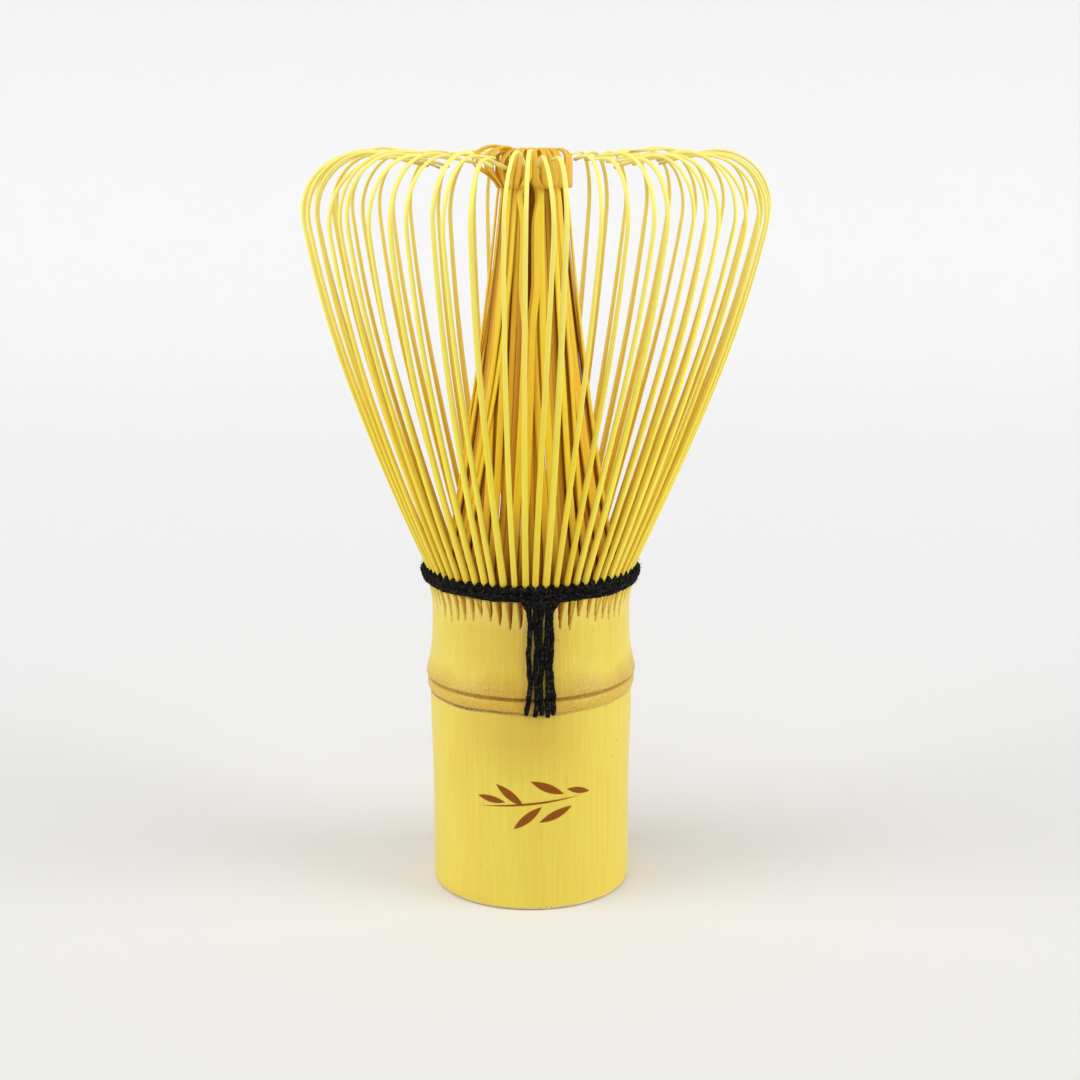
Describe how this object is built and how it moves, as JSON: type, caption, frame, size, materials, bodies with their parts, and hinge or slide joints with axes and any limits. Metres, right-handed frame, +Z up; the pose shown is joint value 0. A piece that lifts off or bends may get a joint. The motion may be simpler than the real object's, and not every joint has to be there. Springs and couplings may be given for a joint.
{
  "type": "bamboo tea whisk",
  "caption": "Tea whisk cut from one bamboo culm: short handle with a node, flared springy outer tines curled in at the tip, a bunched inner core, and a black cotton thread woven between them.",
  "frame": {"origin": "middle of the handle's bottom face", "axes": "+Z up the axis to the tips; -Y is the front, where the thread is knotted and its tails hang"},
  "size_m": [0.064, 0.064, 0.105],
  "materials": {
    "bamboo_culm": "smooth dried bamboo skin, satin",
    "bamboo_tine": "shaved bamboo, satin on the skin side",
    "bamboo_core": "shaved inner bamboo, matt",
    "cotton_thread": "black waxed cotton, slightly fuzzy"
  },
  "bodies": {
    "culm": {"culm_handle": "bamboo_culm", "inner_stave_01": "bamboo_core", "inner_stave_02": "bamboo_core", "inner_stave_03": "bamboo_core", "inner_stave_04": "bamboo_core", "inner_stave_05": "bamboo_core", "inner_stave_06": "bamboo_core", "inner_stave_07": "bamboo_core", "inner_stave_08": "bamboo_core", "inner_stave_09": "bamboo_core", "inner_stave_10": "bamboo_core", "inner_stave_11": "bamboo_core", "inner_stave_12": "bamboo_core", "inner_stave_13": "bamboo_core", "inner_stave_14": "bamboo_core", "inner_stave_15": "bamboo_core", "inner_stave_16": "bamboo_core", "thread_lower_turn": "cotton_thread", "thread_upper_turn": "cotton_thread", "thread_woven_turn": "cotton_thread", "thread_knot": "cotton_thread", "thread_tail_1": "cotton_thread", "thread_tail_2": "cotton_thread", "thread_tail_3": "cotton_thread", "thread_tail_4": "cotton_thread", "thread_tail_5": "cotton_thread"},
    "stave_01": {"outer_stave_01": "bamboo_tine"},
    "stave_02": {"outer_stave_02": "bamboo_tine"},
    "stave_03": {"outer_stave_03": "bamboo_tine"},
    "stave_04": {"outer_stave_04": "bamboo_tine"},
    "stave_05": {"outer_stave_05": "bamboo_tine"},
    "stave_06": {"outer_stave_06": "bamboo_tine"},
    "stave_07": {"outer_stave_07": "bamboo_tine"},
    "stave_08": {"outer_stave_08": "bamboo_tine"},
    "stave_09": {"outer_stave_09": "bamboo_tine"},
    "stave_10": {"outer_stave_10": "bamboo_tine"},
    "stave_11": {"outer_stave_11": "bamboo_tine"},
    "stave_12": {"outer_stave_12": "bamboo_tine"},
    "stave_13": {"outer_stave_13": "bamboo_tine"},
    "stave_14": {"outer_stave_14": "bamboo_tine"},
    "stave_15": {"outer_stave_15": "bamboo_tine"},
    "stave_16": {"outer_stave_16": "bamboo_tine"}
  },
  "joints": [
    {"name": "stave_01_flex", "type": "hinge", "parent": "culm", "child": "stave_01", "pos_m": [0.0144, 0, 0.04575], "axis": [0, 1, 0], "range_deg": [-2.5, 6], "stiffness_Nm_per_rad": 0.046},
    {"name": "stave_02_flex", "type": "hinge", "parent": "culm", "child": "stave_02", "pos_m": [0.0133, 0.00551, 0.04575], "axis": [-0.3827, 0.9239, 0], "range_deg": [-2.5, 6], "stiffness_Nm_per_rad": 0.046},
    {"name": "stave_03_flex", "type": "hinge", "parent": "culm", "child": "stave_03", "pos_m": [0.01018, 0.01018, 0.04575], "axis": [-0.7071, 0.7071, 0], "range_deg": [-2.5, 6], "stiffness_Nm_per_rad": 0.046},
    {"name": "stave_04_flex", "type": "hinge", "parent": "culm", "child": "stave_04", "pos_m": [0.00551, 0.0133, 0.04575], "axis": [-0.9239, 0.3827, 0], "range_deg": [-2.5, 6], "stiffness_Nm_per_rad": 0.046},
    {"name": "stave_05_flex", "type": "hinge", "parent": "culm", "child": "stave_05", "pos_m": [0, 0.0144, 0.04575], "axis": [-1, 0, 0], "range_deg": [-2.5, 6], "stiffness_Nm_per_rad": 0.046},
    {"name": "stave_06_flex", "type": "hinge", "parent": "culm", "child": "stave_06", "pos_m": [-0.00551, 0.0133, 0.04575], "axis": [-0.9239, -0.3827, 0], "range_deg": [-2.5, 6], "stiffness_Nm_per_rad": 0.046},
    {"name": "stave_07_flex", "type": "hinge", "parent": "culm", "child": "stave_07", "pos_m": [-0.01018, 0.01018, 0.04575], "axis": [-0.7071, -0.7071, 0], "range_deg": [-2.5, 6], "stiffness_Nm_per_rad": 0.046},
    {"name": "stave_08_flex", "type": "hinge", "parent": "culm", "child": "stave_08", "pos_m": [-0.0133, 0.00551, 0.04575], "axis": [-0.3827, -0.9239, 0], "range_deg": [-2.5, 6], "stiffness_Nm_per_rad": 0.046},
    {"name": "stave_09_flex", "type": "hinge", "parent": "culm", "child": "stave_09", "pos_m": [-0.0144, 0, 0.04575], "axis": [0, -1, 0], "range_deg": [-2.5, 6], "stiffness_Nm_per_rad": 0.046},
    {"name": "stave_10_flex", "type": "hinge", "parent": "culm", "child": "stave_10", "pos_m": [-0.0133, -0.00551, 0.04575], "axis": [0.3827, -0.9239, 0], "range_deg": [-2.5, 6], "stiffness_Nm_per_rad": 0.046},
    {"name": "stave_11_flex", "type": "hinge", "parent": "culm", "child": "stave_11", "pos_m": [-0.01018, -0.01018, 0.04575], "axis": [0.7071, -0.7071, 0], "range_deg": [-2.5, 6], "stiffness_Nm_per_rad": 0.046},
    {"name": "stave_12_flex", "type": "hinge", "parent": "culm", "child": "stave_12", "pos_m": [-0.00551, -0.0133, 0.04575], "axis": [0.9239, -0.3827, 0], "range_deg": [-2.5, 6], "stiffness_Nm_per_rad": 0.046},
    {"name": "stave_13_flex", "type": "hinge", "parent": "culm", "child": "stave_13", "pos_m": [0, -0.0144, 0.04575], "axis": [1, 0, 0], "range_deg": [-2.5, 6], "stiffness_Nm_per_rad": 0.046},
    {"name": "stave_14_flex", "type": "hinge", "parent": "culm", "child": "stave_14", "pos_m": [0.00551, -0.0133, 0.04575], "axis": [0.9239, 0.3827, 0], "range_deg": [-2.5, 6], "stiffness_Nm_per_rad": 0.046},
    {"name": "stave_15_flex", "type": "hinge", "parent": "culm", "child": "stave_15", "pos_m": [0.01018, -0.01018, 0.04575], "axis": [0.7071, 0.7071, 0], "range_deg": [-2.5, 6], "stiffness_Nm_per_rad": 0.046},
    {"name": "stave_16_flex", "type": "hinge", "parent": "culm", "child": "stave_16", "pos_m": [0.0133, -0.00551, 0.04575], "axis": [0.3827, 0.9239, 0], "range_deg": [-2.5, 6], "stiffness_Nm_per_rad": 0.046}
  ]
}
